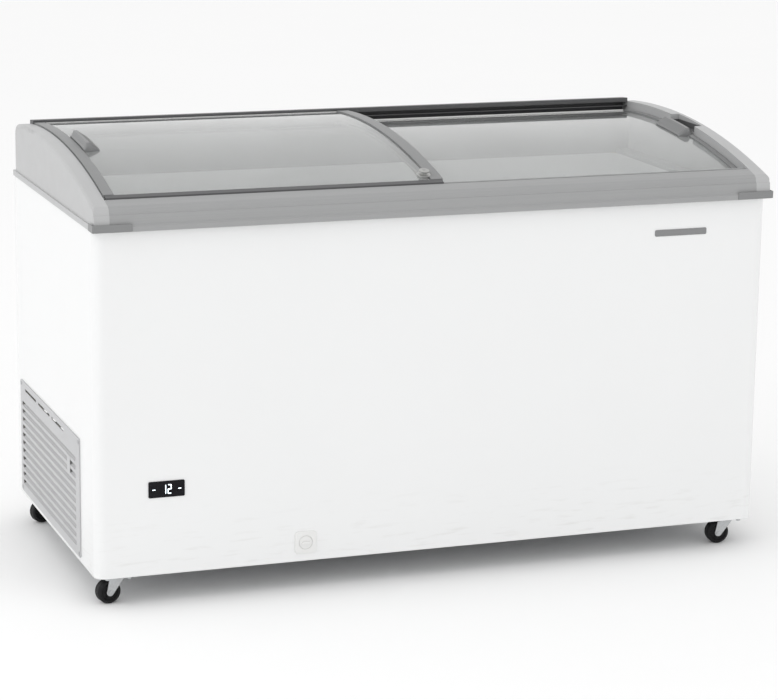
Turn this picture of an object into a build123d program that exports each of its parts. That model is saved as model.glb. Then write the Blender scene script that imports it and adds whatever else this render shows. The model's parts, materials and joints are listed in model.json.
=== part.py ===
from build123d import *
import os
from math import asin, cos, sin, sqrt

# Chest freezer with a curved glass top: two lids that slide past each other, on four swivel
# casters. All sizes in millimetres. X runs to the right along the front, Y from front to back,
# Z up. The origin is on the floor, under the middle of the freezer.

os.makedirs("parts", exist_ok=True)

# ---- driving dimensions -----------------------------------------------------------------
cabinet_width = 1480
cabinet_depth = 700
underside = 60          # height of the cabinet's underside above the floor
rim = 776               # height of the cabinet's top edge, where the plastic frame begins
crown_top = 900         # highest point of the curved end caps
crown_radius = 1800
crown_setback = 512     # from the cabinet's front face back to the top of the crown
corner_radius = 22      # front vertical corners of the cabinet
wall = 60               # insulated wall, sheet to sheet
sheet = 1.0
base_sheet = 1.5
front_overhang = 20     # frame in front of the cabinet's front face
rear_overhang = 4
cap_width = 32          # end caps, seen from above
glass = 4
lid_travel = 630

# ---- positions worked out from them -----------------------------------------------------
half_width = cabinet_width / 2
front_y = -(cabinet_depth + front_overhang + rear_overhang) / 2 + front_overhang
rear_y = front_y + cabinet_depth
crown_y = front_y + crown_setback
crown_centre_z = crown_top - crown_radius
cap_inner_x = half_width - cap_width
cavity_x = half_width - wall - sheet
cavity_front = front_y + wall
cavity_rear = rear_y - wall
liner_sheet = 1.2

# compressor bay, at the left end below the raised part of the tank floor
bay_right = -410
bay_top = 325
step_x = bay_right + 55
step_floor = bay_top + 52
floor_z = underside + 62
bay_x = -half_width + sheet

# crown levels, measured down from the end caps' curve along Z
outer_glass_drop = -1
inner_glass_drop = 21.5
handle_height = 17.5


def save(part, name):
    """Names a finished piece and writes it to the parts folder."""
    part.label = name
    export_step(part, f"parts/{name}.step")


def back(setback):
    """Y of a point that lies `setback` behind the cabinet's front face."""
    return front_y + setback


def crown_z(y, drop=0):
    """Height of the crown's curve at y, lowered by `drop`."""
    return crown_centre_z + sqrt(crown_radius**2 - (y - crown_y) ** 2) - drop


def crown_lean(y):
    """Angle between the vertical and the crown's normal at y, positive towards the back."""
    return asin((y - crown_y) / crown_radius)


def crown_edge(y_start, y_end, drop):
    """Three points of a crown curve, for an arc from y_start to y_end."""
    middle = (y_start + y_end) / 2
    return [(y, crown_z(y, drop)) for y in (y_start, middle, y_end)]


def crown_band(top_drop, bottom_drop, setback_start, setback_end):
    """Section between two crown curves, for a sketch on the YZ plane."""
    y_start = back(setback_start)
    y_end = back(setback_end)
    with BuildSketch(Plane.XY) as band:
        with BuildLine():
            upper = ThreePointArc(*crown_edge(y_start, y_end, top_drop))
            lower = ThreePointArc(*crown_edge(y_start, y_end, bottom_drop))
            Line(upper @ 0, lower @ 0)
            Line(upper @ 1, lower @ 1)
        make_face()
    return band.sketch


def crown_normal_plane(x, setback, drop):
    """Plane that touches a crown curve, its normal pointing out of the freezer."""
    y = back(setback)
    lean = crown_lean(y)
    return Plane(
        origin=(x, y, crown_z(y, drop)), x_dir=(1, 0, 0), z_dir=(0, sin(lean), cos(lean))
    )


def tub(grow):
    """The tank's hollow, its walls and floor moved outwards by `grow`; open at the rim."""
    left = -cavity_x - grow
    with BuildPart() as hollow:
        with BuildSketch(Plane.XZ.offset(-(cavity_rear + grow))):
            with BuildLine():
                Polyline(
                    (left, rim),
                    (left, step_floor - grow),
                    (step_x - grow, step_floor - grow),
                    (step_x - grow, floor_z - grow),
                    (cavity_x + grow, floor_z - grow),
                    (cavity_x + grow, rim),
                    close=True,
                )
            make_face()
        extrude(amount=cavity_rear - cavity_front + 2 * grow)
        fillet(hollow.edges().filter_by(Axis.Z), radius=28 + grow)
    return hollow.part


def tube_along(points, radii, radius, hole=0):
    """A round tube, or a rod when hole is 0, along straight runs joined by tangent arcs."""
    with BuildPart() as tube:
        with BuildLine() as route:
            FilletPolyline(*points, radius=radii)
        with BuildSketch(Plane(origin=route.line @ 0, z_dir=route.line % 0)):
            Circle(radius)
            if hole:
                Circle(hole, mode=Mode.SUBTRACT)
        sweep()
    return tube.part


# ---- cabinet sheets ---------------------------------------------------------------------
grille_front = 124
grille_rear = 670
grille_bottom = 70
grille_top = 324
grille_lap = 6
grille_y = back((grille_front + grille_rear) / 2)
grille_z = (grille_bottom + grille_top) / 2
grille_length = grille_rear - grille_front
grille_height = grille_top - grille_bottom

display_x = -592
display_z = 240
drain_x = -295
drain_z = 100
drain_setback = 140
drain_radius = 12

caster_x = half_width - 50
caster_setbacks = (36, cabinet_depth - 60)
caster_places = {
    "front_left": (-caster_x, back(caster_setbacks[0]), 188),
    "front_right": (caster_x, back(caster_setbacks[0]), 172),
    "rear_left": (-caster_x, back(caster_setbacks[1]), 194),
    "rear_right": (caster_x, back(caster_setbacks[1]), 181),
}
caster_bolt_spacing = 44
caster_bolt_radius = 3
caster_hole_radius = 3.2
caster_centres = [(x, y) for x, y, angle in caster_places.values()]

with BuildPart() as outer_shell:
    with BuildSketch(Plane.XY.offset(underside)):
        with BuildSketch(mode=Mode.ADD) as wrap:
            with Locations((0, (front_y + rear_y - sheet) / 2)):
                Rectangle(cabinet_width, cabinet_depth - sheet)
            fillet(wrap.vertices().group_by(Axis.Y)[0], radius=corner_radius)
        with BuildSketch(mode=Mode.SUBTRACT) as hollow_plan:
            with Locations((0, (front_y + rear_y + sheet) / 2)):
                Rectangle(cabinet_width - 2 * sheet, cabinet_depth - sheet)
            fillet(hollow_plan.vertices().group_by(Axis.Y)[0], radius=corner_radius - sheet)
    extrude(amount=rim - underside)
    with Locations((-half_width, grille_y, grille_z)):
        Box(
            10,
            grille_length - 2 * grille_lap,
            grille_height - 2 * grille_lap,
            mode=Mode.SUBTRACT,
        )
    with Locations((display_x, front_y, display_z)):
        Box(68, 10, 26, mode=Mode.SUBTRACT)
    with Locations(Location((drain_x, front_y, drain_z), (90, 0, 0))):
        Cylinder(drain_radius, 10, mode=Mode.SUBTRACT)
save(outer_shell.part, "outer_shell")

gland_x = -500
gland_z = 112
gland_hole = 8
with BuildPart() as back_panel:
    with BuildSketch(Plane.XZ.offset(-rear_y)):
        with Locations((0, (underside + rim) / 2)):
            Rectangle(cabinet_width, rim - underside)
        with Locations((-575, 215)):
            with GridLocations(130, 22, 2, 7):
                SlotOverall(110, 8, mode=Mode.SUBTRACT)
        with Locations((gland_x, gland_z)):
            Circle(gland_hole, mode=Mode.SUBTRACT)
    extrude(amount=sheet)
save(back_panel.part, "back_panel")

with BuildPart() as base_panel:
    with BuildSketch(Plane.XY.offset(underside)) as base_plan:
        with Locations((0, (front_y + rear_y) / 2)):
            Rectangle(cabinet_width - 2 * sheet, cabinet_depth - 2 * sheet)
        fillet(base_plan.vertices().group_by(Axis.Y)[0], radius=corner_radius - sheet)
        for x, y in caster_centres:
            with Locations((x, y)):
                with GridLocations(caster_bolt_spacing, caster_bolt_spacing, 2, 2):
                    Circle(caster_hole_radius, mode=Mode.SUBTRACT)
    extrude(amount=base_sheet)
save(base_panel.part, "base_panel")

# ---- tank, insulation and evaporator ----------------------------------------------------
with BuildPart() as inner_liner:
    add(tub(liner_sheet))
    add(tub(0), mode=Mode.SUBTRACT)
    with Locations((drain_x, back(drain_setback), floor_z)):
        Cylinder(drain_radius, 20, mode=Mode.SUBTRACT)
save(inner_liner.part, "inner_liner")

coil_radius = 4
coil_gap = 6
coil_x = cavity_x + liner_sheet + coil_gap
coil_front = cavity_front - liner_sheet - coil_gap
coil_rear = cavity_rear + liner_sheet + coil_gap
coil_turns = 5
coil_pitch = 62
coil_first_z = 405
stub_z = bay_top - 12
coil_inlet_y = 100
coil_outlet_y = 190
coil_outlet_x = coil_x + 14

coil_corners = [
    (-coil_x, coil_rear),
    (coil_x, coil_rear),
    (coil_x, coil_front),
    (-coil_x, coil_front),
]
coil_points = [(-coil_x, coil_inlet_y, stub_z), (-coil_x, coil_inlet_y, coil_first_z)]
coil_radii = [30]
for turn in range(coil_turns):
    for quarter, (x, y) in enumerate(coil_corners):
        coil_points.append((x, y, coil_first_z + coil_pitch * (turn + (quarter + 1) / 4)))
        coil_radii.append(34)
coil_end_z = coil_points[-1][2]
coil_points += [
    (-coil_x, coil_outlet_y - 60, coil_end_z + 10),
    (-coil_outlet_x, coil_outlet_y, coil_end_z + 14),
    (-coil_outlet_x, coil_outlet_y, stub_z),
]
coil_radii += [40, 12]
coil_tube = tube_along(coil_points, coil_radii, coil_radius)
with BuildPart() as evaporator_coil:
    add(coil_tube)
save(evaporator_coil.part, "evaporator_coil")

drain_points = [
    (drain_x, back(drain_setback), floor_z),
    (drain_x, back(drain_setback), drain_z),
    (drain_x, front_y, drain_z),
]
with BuildPart() as drain_tube:
    add(tube_along(drain_points, [16], drain_radius, drain_radius - 3))
save(drain_tube.part, "drain_tube")

foam_bottom = underside + base_sheet
bolt_pocket = 8
with BuildPart() as insulation_foam:
    with BuildSketch(Plane.XY.offset(foam_bottom)) as foam_plan:
        with Locations((0, (front_y + rear_y) / 2)):
            Rectangle(cabinet_width - 2 * sheet, cabinet_depth - 2 * sheet)
        fillet(foam_plan.vertices().group_by(Axis.Y)[0], radius=corner_radius - sheet)
    extrude(amount=rim - foam_bottom)
    add(tub(liner_sheet), mode=Mode.SUBTRACT)
    with Locations((bay_right, front_y, foam_bottom)):
        Box(
            400,
            cabinet_depth,
            bay_top - foam_bottom,
            align=(Align.MAX, Align.MIN, Align.MIN),
            mode=Mode.SUBTRACT,
        )
    add(coil_tube, mode=Mode.SUBTRACT)
    add(tube_along(drain_points, [16], drain_radius), mode=Mode.SUBTRACT)
    for x, y in caster_centres:
        if x > 0:
            with Locations((x, y, foam_bottom)):
                with GridLocations(caster_bolt_spacing, caster_bolt_spacing, 2, 2):
                    Cylinder(6, 2 * bolt_pocket, mode=Mode.SUBTRACT)
save(insulation_foam.part, "insulation_foam")

# ---- plastic frame: rails and end caps --------------------------------------------------
rail_rear = 66
outer_groove = (28, 42)
outer_groove_floor = rim + 42
divider_rear = 45
inner_groove_rear = 62
inner_groove_floor = rim + 26
divider_drop = 5.2


def bumper_points():
    """Front outline shared by the front rail and the end caps, from its foot up to the crown."""
    return [
        (back(-18), rim),
        (back(-18), rim + 10),
        (back(-14), rim + 14),
        (back(-12), rim + 33),
        (back(-9.5), rim + 34.5),
        (back(-7), rim + 44),
        (back(0), crown_z(back(0))),
    ]


with BuildPart() as front_rail:
    with BuildSketch(Plane.YZ.offset(-cap_inner_x)):
        with BuildLine():
            Polyline(*bumper_points())
            ThreePointArc(*crown_edge(back(0), back(outer_groove[0]), 0))
            Polyline(
                (back(outer_groove[0]), crown_z(back(outer_groove[0]))),
                (back(outer_groove[0]), outer_groove_floor),
                (back(outer_groove[1]), outer_groove_floor),
                (back(outer_groove[1]), crown_z(back(outer_groove[1]), divider_drop)),
                (back(divider_rear), crown_z(back(divider_rear), divider_drop)),
                (back(divider_rear), inner_groove_floor),
                (back(inner_groove_rear), inner_groove_floor),
                (back(inner_groove_rear), inner_groove_floor + 3),
                (back(rail_rear), inner_groove_floor + 3),
                (back(rail_rear), rim),
                (back(-18), rim),
            )
        make_face()
    extrude(amount=2 * cap_inner_x)
save(front_rail.part, "front_rail")

track_drop = 35
track_back = 684
upstand_front = 640
with BuildPart() as rear_upstand:
    with BuildSketch(Plane.YZ.offset(-cap_inner_x)):
        with BuildLine():
            foot = back(upstand_front)
            step = back(track_back)
            ThreePointArc(*crown_edge(foot, step, track_drop))
            Polyline(
                (step, crown_z(step, track_drop)),
                (back(694), crown_z(step, track_drop + 6)),
                (back(694), rim + 12),
                (back(704), rim + 12),
                (back(704), rim),
                (foot, rim),
                (foot, crown_z(foot, track_drop)),
            )
        make_face()
    extrude(amount=2 * cap_inner_x)
save(rear_upstand.part, "rear_upstand")

with BuildPart() as rear_track:
    with BuildSketch(Plane.YZ.offset(-cap_inner_x)):
        add(crown_band(-8, 1.4, 652.5, track_back))
        add(crown_band(9.6, 12, 655, track_back))
        add(crown_band(32.5, track_drop, upstand_front, track_back))
        add(crown_band(-1, track_drop, track_back - 3.5, track_back))
    extrude(amount=2 * cap_inner_x)
    fillet(rear_track.edges().filter_by(Axis.X).sort_by(Axis.Z)[-4:].sort_by(Axis.Y)[-1], 2.4)
save(rear_track.part, "rear_track")

cap_rear = 696
cap_rear_radius = 26
cap_edge_radius = 7
flange_height = 12
flange_overhang = 3
ledge_inner_x = cavity_x - 3
handle_setbacks = (295, 415)
handle_width = 34
recess_depth = 19
recess_drop = 20


def end_cap(name, side):
    """End cap that closes the frame at one side: -1 is the left, 1 the right."""
    inner = side * cap_inner_x
    middle_y = back((rail_rear + upstand_front) / 2)
    recess_y = back(sum(handle_setbacks) / 2)
    recess_length = handle_setbacks[1] - handle_setbacks[0]
    recess_floor = crown_z(recess_y, recess_drop)
    toward_outside = (Align.MIN if side > 0 else Align.MAX, Align.CENTER, Align.MIN)
    toward_inside = (Align.MAX if side > 0 else Align.MIN, Align.CENTER, Align.MIN)
    with BuildPart() as cap:
        with BuildSketch(Plane.YZ.offset(inner)) as outline:
            with BuildLine():
                Polyline(*bumper_points())
                ThreePointArc(*crown_edge(back(0), back(cap_rear), 0))
                Polyline(
                    (back(cap_rear), crown_z(back(cap_rear))),
                    (back(cap_rear), rim),
                    (back(-18), rim),
                )
            make_face()
            fillet(outline.vertices().sort_by(Axis.Y)[-2:].sort_by(Axis.Z)[-1], cap_rear_radius)
        extrude(amount=side * cap_width)
        outer_rim = cap.faces().sort_by(Axis.X)[0 if side < 0 else -1].edges()
        fillet(outer_rim.filter_by(GeomType.CIRCLE), cap_edge_radius)
        with Locations((inner, back((704 - 18) / 2), rim)):
            Box(cap_width + flange_overhang, 704 + 18, flange_height, align=toward_outside)
        with Locations((inner, middle_y, rim)):
            Box(
                cap_inner_x - ledge_inner_x,
                back(upstand_front) - back(rail_rear),
                10,
                align=toward_inside,
            )
        if side > 0:
            # The right lid runs lower, so its pull needs finger room inside the cap.
            with Locations((inner, recess_y, recess_floor)):
                Box(recess_depth, recess_length, 60, align=toward_outside, mode=Mode.SUBTRACT)
    save(cap.part, name)


end_cap("left_end_cap", -1)
end_cap("right_end_cap", 1)

cover_length = 82
cover_height = 15
cover_reach = half_width + flange_overhang
with BuildPart() as corner_covers:
    with BuildSketch(Plane.XY.offset(rim + 1)):
        for side in (-1, 1):
            with Locations((side * (cover_reach + 2 - cover_length / 2), back(-19))):
                Rectangle(cover_length, 2)
            with Locations((side * (cover_reach + 1), back(-3))):
                Rectangle(2, 34)
    extrude(amount=cover_height)
    front_edges = corner_covers.edges().filter_by(Axis.Z).group_by(Axis.Y)[0]
    fillet(front_edges, 1.2)
save(corner_covers.part, "corner_covers")

# ---- side grille ------------------------------------------------------------------------
grille_thickness = 2.5
screw_radius = 2
slat_count = 11
slat_pitch = 18
slot_height = 10
slot_length = 500
slats_z = grille_z - 14
with BuildPart() as side_grille:
    with BuildSketch(Plane.YZ.offset(-half_width)) as grille_plan:
        with Locations((grille_y, grille_z)):
            Rectangle(grille_length, grille_height)
        fillet(grille_plan.vertices(), 5)
        with Locations((grille_y + 8, slats_z)):
            with GridLocations(0, slat_pitch, 1, slat_count):
                SlotOverall(slot_length, slot_height, mode=Mode.SUBTRACT)
        with Locations((back(443), grille_top - 16)):
            with GridLocations(128, 0, 3, 1):
                SlotOverall(110, 6, mode=Mode.SUBTRACT)
        with Locations((grille_y, grille_z)):
            with GridLocations(grille_length - 16, grille_height - 16, 2, 2):
                Circle(screw_radius + 0.2, mode=Mode.SUBTRACT)
    extrude(amount=-grille_thickness)
    for number in range(slat_count):
        slat_z = slats_z + (number - (slat_count - 1) / 2) * slat_pitch
        with Locations(Location((-half_width + 2.5, grille_y + 8, slat_z - 2.6), (0, -40, 0))):
            Box(9, slot_length - 12, 1.4)
    with Locations((-half_width - grille_thickness + 0.1, back(215), 250)):
        Box(1, 26, 34, align=(Align.MAX, Align.CENTER, Align.CENTER))
save(side_grille.part, "side_grille")

with BuildPart() as grille_screws:
    for y_side in (-1, 1):
        for z_side in (-1, 1):
            y = grille_y + y_side * (grille_length / 2 - 8)
            z = grille_z + z_side * (grille_height / 2 - 8)
            with BuildSketch(Plane.YZ.offset(-half_width - grille_thickness)):
                with Locations((y, z)):
                    Circle(4)
            extrude(amount=-1.2)
            with BuildSketch(Plane.YZ.offset(-half_width - grille_thickness)):
                with Locations((y, z)):
                    Circle(screw_radius)
            extrude(amount=grille_thickness)
save(grille_screws.part, "grille_screws")

# ---- compressor bay ---------------------------------------------------------------------
tray_top = foam_bottom + 2
compressor_x = -560
compressor_y = back(520)
compressor_radius = 85
compressor_bottom = 79
compressor_top = 255
foot_spacing = (164, 116)
stub_top = compressor_top + 10

with BuildPart() as compressor_tray:
    with BuildSketch(Plane.XY.offset(foam_bottom)):
        with Locations((-575, back(350))):
            RectangleRounded(318, 500, 6)
        with Locations((compressor_x, compressor_y)):
            with GridLocations(*foot_spacing, 2, 2):
                Circle(4.2, mode=Mode.SUBTRACT)
    extrude(amount=tray_top - foam_bottom)
save(compressor_tray.part, "compressor_tray")

with BuildPart() as compressor:
    with Locations((compressor_x, compressor_y, compressor_bottom)):
        Cylinder(
            compressor_radius,
            compressor_top - compressor_bottom,
            align=(Align.CENTER, Align.CENTER, Align.MIN),
        )
    fillet(compressor.edges().filter_by(GeomType.CIRCLE), 38)
    with Locations((compressor_x, compressor_y, 165)):
        Cylinder(compressor_radius + 4, 6)
    with BuildSketch(Plane.XY.offset(compressor_bottom)):
        with Locations((compressor_x, compressor_y)):
            RectangleRounded(200, 150, 18)
            with GridLocations(*foot_spacing, 2, 2):
                Circle(8, mode=Mode.SUBTRACT)
    extrude(amount=3)
    with Locations((compressor_x, compressor_y, compressor_top)):
        with GridLocations(50, 0, 2, 1):
            Cylinder(6, 10, align=(Align.CENTER, Align.CENTER, Align.MIN))
save(compressor.part, "compressor")

grommet_bottom = tray_top
with BuildPart() as rubber_grommets:
    with BuildSketch(Plane.XY.offset(grommet_bottom)):
        with Locations((compressor_x, compressor_y)):
            with GridLocations(*foot_spacing, 2, 2):
                Circle(13)
    extrude(amount=compressor_bottom - grommet_bottom)
    with BuildSketch(Plane.XY.offset(compressor_bottom)):
        with Locations((compressor_x, compressor_y)):
            with GridLocations(*foot_spacing, 2, 2):
                Circle(8)
    extrude(amount=5)
    with BuildSketch(Plane.XY.offset(grommet_bottom)):
        with Locations((compressor_x, compressor_y)):
            with GridLocations(*foot_spacing, 2, 2):
                Circle(4.2)
    extrude(amount=40, mode=Mode.SUBTRACT)
save(rubber_grommets.part, "rubber_grommets")

with BuildPart() as mount_bolts:
    with BuildSketch(Plane.XY.offset(foam_bottom)):
        with Locations((compressor_x, compressor_y)):
            with GridLocations(*foot_spacing, 2, 2):
                Circle(4)
    extrude(amount=compressor_bottom + 5 - foam_bottom)
    with BuildSketch(Plane.XY.offset(compressor_bottom + 5)):
        with Locations((compressor_x, compressor_y)):
            with GridLocations(*foot_spacing, 2, 2):
                RegularPolygon(7.5, 6)
    extrude(amount=6)
save(mount_bolts.part, "mount_bolts")

with BuildPart() as relay_cover:
    with Locations((compressor_x + compressor_radius + 4, compressor_y, 165)):
        Box(38, 58, 64, align=(Align.MIN, Align.CENTER, Align.CENTER))
    fillet(relay_cover.faces().sort_by(Axis.X)[-1].edges(), 5)
save(relay_cover.part, "relay_cover")

condenser_columns = (-709, -685)
condenser_near = back(118)
condenser_far = back(378)
condenser_rows = (260, 220, 180, 140, 100)
condenser_tube = 4.75
inlet_top = 282
serpentine = [(condenser_columns[0], condenser_far, inlet_top)]
ends = (condenser_far, condenser_near)
for number, row in enumerate(condenser_rows):
    serpentine.append((condenser_columns[0], ends[number % 2], row))
    serpentine.append((condenser_columns[0], ends[(number + 1) % 2], row))
for number, row in enumerate(reversed(condenser_rows)):
    serpentine.append((condenser_columns[1], ends[(number + 1) % 2], row))
    serpentine.append((condenser_columns[1], ends[number % 2], row))
serpentine.append((condenser_columns[1], condenser_far, inlet_top))
serpentine_radii = [11.5] * (len(serpentine) - 2)

fin_count = 22
with BuildPart() as condenser:
    add(tube_along(serpentine, serpentine_radii, condenser_tube))
    with Locations((sum(condenser_columns) / 2, back(248), 180)):
        with GridLocations(0, 10, 1, fin_count):
            Box(50, 0.6, 200)
save(condenser.part, "condenser")

fan_y = back(250)
fan_z = 180
shroud_x = -668
ring_radius = 102
ring_end = -633
motor_radius = 34
shaft_radius = 4
with BuildPart() as fan_shroud:
    with BuildSketch(Plane.YZ.offset(shroud_x)):
        with Locations((fan_y, (tray_top + 296) / 2)):
            Rectangle(284, 296 - tray_top)
        with Locations((fan_y, fan_z)):
            Circle(ring_radius, mode=Mode.SUBTRACT)
    extrude(amount=2)
    with BuildSketch(Plane.YZ.offset(shroud_x)):
        with Locations((fan_y, fan_z)):
            Circle(ring_radius + 2)
            Circle(ring_radius, mode=Mode.SUBTRACT)
    extrude(amount=ring_end - shroud_x)
    with BuildSketch(Plane.YZ.offset(ring_end - 4)):
        with Locations((fan_y, fan_z)):
            Circle(motor_radius + 4)
            with PolarLocations((ring_radius + motor_radius + 3) / 2, 3, start_angle=90):
                Rectangle(ring_radius - motor_radius, 10)
            Circle(motor_radius - 8, mode=Mode.SUBTRACT)
    extrude(amount=4)
    with Locations((shroud_x, fan_y, tray_top)):
        Box(36, 284, 2, align=(Align.MIN, Align.CENTER, Align.MIN))
save(fan_shroud.part, "fan_shroud")

with BuildPart() as fan_motor:
    with BuildSketch(Plane.YZ.offset(ring_end)):
        with Locations((fan_y, fan_z)):
            Circle(motor_radius)
    extrude(amount=48)
    fillet(fan_motor.faces().sort_by(Axis.X)[-1].edges(), 8)
    with BuildSketch(Plane.YZ.offset(ring_end)):
        with Locations((fan_y, fan_z)):
            Circle(shaft_radius + 0.05)
    extrude(amount=16, mode=Mode.SUBTRACT)
save(fan_motor.part, "fan_motor")

blade_count = 5
rotor_x = -652
with BuildPart() as fan_rotor:
    with BuildSketch(Plane.YZ.offset(rotor_x - 8)):
        with Locations((fan_y, fan_z)):
            Circle(28)
    extrude(amount=14)
    fillet(fan_rotor.faces().sort_by(Axis.X)[0].edges(), 4)
    with BuildSketch(Plane.YZ.offset(rotor_x)):
        with Locations((fan_y, fan_z)):
            Circle(shaft_radius)
    extrude(amount=ring_end + 15 - rotor_x)
    for number in range(blade_count):
        turned = Location((rotor_x, fan_y, fan_z), (number * 360 / blade_count, 0, 0))
        with Locations(turned * Location((0, 0, 61), (0, 0, 28))):
            Box(2, 44, 72)
save(fan_rotor.part, "fan_rotor")

drier_x = -640
drier_y = back(450)
with BuildPart() as filter_drier:
    with Locations((drier_x, drier_y, 190)):
        Cylinder(9, 80)
    fillet(filter_drier.edges().filter_by(GeomType.CIRCLE), 5)
    with Locations((drier_x, drier_y, 190)):
        Cylinder(3.5, 100)
save(filter_drier.part, "filter_drier")

pipe_level = 300
with BuildPart() as refrigerant_pipes:
    discharge = [
        (compressor_x + 25, compressor_y, stub_top),
        (compressor_x + 25, compressor_y, pipe_level),
        (condenser_columns[0], condenser_far, pipe_level + 2),
        (condenser_columns[0], condenser_far, inlet_top),
    ]
    add(tube_along(discharge, [15, 12], 3))
    suction = [
        (-coil_outlet_x, coil_outlet_y, stub_z),
        (-coil_outlet_x, coil_outlet_y, pipe_level - 12),
        (compressor_x - 25, compressor_y, pipe_level - 12),
        (compressor_x - 25, compressor_y, stub_top),
    ]
    add(tube_along(suction, [14, 14], 4))
    liquid = [
        (condenser_columns[1], condenser_far, inlet_top),
        (condenser_columns[1], condenser_far, pipe_level - 6),
        (drier_x, drier_y, pipe_level - 6),
        (drier_x, drier_y, 240),
    ]
    add(tube_along(liquid, [8, 14], 3))
    capillary = [
        (drier_x, drier_y, 140),
        (drier_x, drier_y, 110),
        (drier_x - 30, drier_y + 20, 112),
        (drier_x - 30, drier_y + 20, 280),
        (-coil_x, coil_inlet_y, 288),
        (-coil_x, coil_inlet_y, stub_z),
    ]
    add(tube_along(capillary, [10, 10, 10, 8], 1.5))
save(refrigerant_pipes.part, "refrigerant_pipes")

with BuildPart() as cord_gland:
    with BuildSketch(Plane.XZ.offset(-rear_y)):
        with Locations((gland_x, gland_z)):
            Circle(13)
    extrude(amount=-2.5)
    with BuildSketch(Plane.XZ.offset(-rear_y)):
        with Locations((gland_x, gland_z)):
            Circle(gland_hole)
    extrude(amount=18)
    with BuildSketch(Plane.XZ.offset(-rear_y + sheet)):
        with Locations((gland_x, gland_z)):
            RegularPolygon(13, 6)
    extrude(amount=6)
    with BuildSketch(Plane.XZ.offset(-rear_y - 10)):
        with Locations((gland_x, gland_z)):
            Circle(4.2)
    extrude(amount=40, mode=Mode.SUBTRACT)
save(cord_gland.part, "cord_gland")

# ---- controller, drain and badge on the front ---------------------------------------------
lens_size = (76, 34)
lens_thickness = 2.2
key_offset = 27
key_size = (9, 12)
key_gap = 0.25
key_pocket = 1.6
key_travel = 1.0

with BuildPart() as controller_case:
    with BuildSketch(Plane.XZ.offset(-front_y)):
        with Locations((display_x, display_z)):
            Rectangle(68, 26)
    extrude(amount=-56)
    with BuildSketch(Plane.XZ.offset(-front_y)):
        with Locations((display_x, display_z)):
            with GridLocations(2 * key_offset, 0, 2, 1):
                Rectangle(key_size[0] + 4 * key_gap, key_size[1] + 4 * key_gap)
    extrude(amount=-key_pocket, mode=Mode.SUBTRACT)
save(controller_case.part, "controller_case")

with BuildPart() as controller_lens:
    with BuildSketch(Plane.XZ.offset(-front_y)):
        with Locations((display_x, display_z)):
            RectangleRounded(*lens_size, 3)
            with GridLocations(2 * key_offset, 0, 2, 1):
                Rectangle(
                    key_size[0] + 2 * key_gap, key_size[1] + 2 * key_gap, mode=Mode.SUBTRACT
                )
    extrude(amount=lens_thickness)
    fillet(controller_lens.faces().sort_by(Axis.Y)[0].outer_wire().edges(), 0.8)
save(controller_lens.part, "controller_lens")

for key_name, side in (("key_left", -1), ("key_right", 1)):
    with BuildPart() as key:
        with BuildSketch(Plane.XZ.offset(-front_y)):
            with Locations((display_x + side * key_offset, display_z)):
                Rectangle(*key_size)
        extrude(amount=lens_thickness + 0.6)
    save(key.part, key_name)

digit_height = 18
digit_width = 6.5
segment = 1.4
segments_of_two = ("top", "upper_right", "middle", "lower_left", "bottom")
segments_of_one = ("upper_right", "lower_right")
segment_places = {
    "top": (0, digit_height / 2, digit_width, segment),
    "middle": (0, 0, digit_width, segment),
    "bottom": (0, -digit_height / 2, digit_width, segment),
    "upper_right": (digit_width / 2, digit_height / 4, segment, digit_height / 2),
    "lower_right": (digit_width / 2, -digit_height / 4, segment, digit_height / 2),
    "lower_left": (-digit_width / 2, -digit_height / 4, segment, digit_height / 2),
}
with BuildPart() as display_digits:
    with BuildSketch(Plane.XZ.offset(-front_y + lens_thickness)):
        for offset_x, lit in ((-5.5, segments_of_one), (6, segments_of_two)):
            for name in lit:
                x, z, width, height = segment_places[name]
                with Locations((display_x + offset_x + x, display_z + z)):
                    Rectangle(width, height)
    extrude(amount=0.25)
save(display_digits.part, "display_digits")

with BuildPart() as drain_bezel:
    with BuildSketch(Plane.XZ.offset(-front_y)):
        with Locations((drain_x, drain_z)):
            RectangleRounded(47, 48, 8)
            Circle(14.6, mode=Mode.SUBTRACT)
    extrude(amount=3)
    fillet(drain_bezel.faces().sort_by(Axis.Y)[0].outer_wire().edges(), 1.5)
save(drain_bezel.part, "drain_bezel")

stem_radius = drain_radius - 3 - 0.05
with BuildPart() as drain_cap:
    with BuildSketch(Plane.XZ.offset(-front_y + 0.3)):
        with Locations((drain_x, drain_z)):
            Circle(14)
    extrude(amount=2.7)
    with BuildSketch(Plane.XZ.offset(-front_y + 0.3)):
        with Locations((drain_x, drain_z)):
            Circle(stem_radius)
    extrude(amount=-14)
    with BuildSketch(Plane.XZ.offset(-front_y + 3)):
        with Locations((drain_x, drain_z)):
            RectangleRounded(18, 5, 2)
    extrude(amount=5)
save(drain_cap.part, "drain_cap")

with BuildPart() as floor_plug:
    with Locations((drain_x, back(drain_setback), floor_z)):
        Cylinder(16, 4, align=(Align.CENTER, Align.CENTER, Align.MIN))
        Cylinder(stem_radius, 5.5, align=(Align.CENTER, Align.CENTER, Align.MAX))
        Cylinder(5, 10, align=(Align.CENTER, Align.CENTER, Align.MIN))
save(floor_plug.part, "floor_plug")

with BuildPart() as blank_badge:
    with BuildSketch(Plane.XZ.offset(-front_y)):
        with Locations((539, rim - 66)):
            RectangleRounded(120, 14, 3)
    extrude(amount=1.2)
save(blank_badge.part, "blank_badge")

# ---- lids ---------------------------------------------------------------------------------
lid_end = cap_inner_x - 1.5
left_trim_width = 22
glass_end = cap_inner_x - 4
overlap = 10
lock_x = -20
lock_setback = 70
lock_plane = crown_normal_plane(lock_x, lock_setback, outer_glass_drop)
lock_flange_radius = 15
plunger_radius = 6
plunger_travel = 5
outer_glass_front = 31
outer_glass_rear = 650
inner_glass_front = 49
inner_glass_rear = 646


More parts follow.
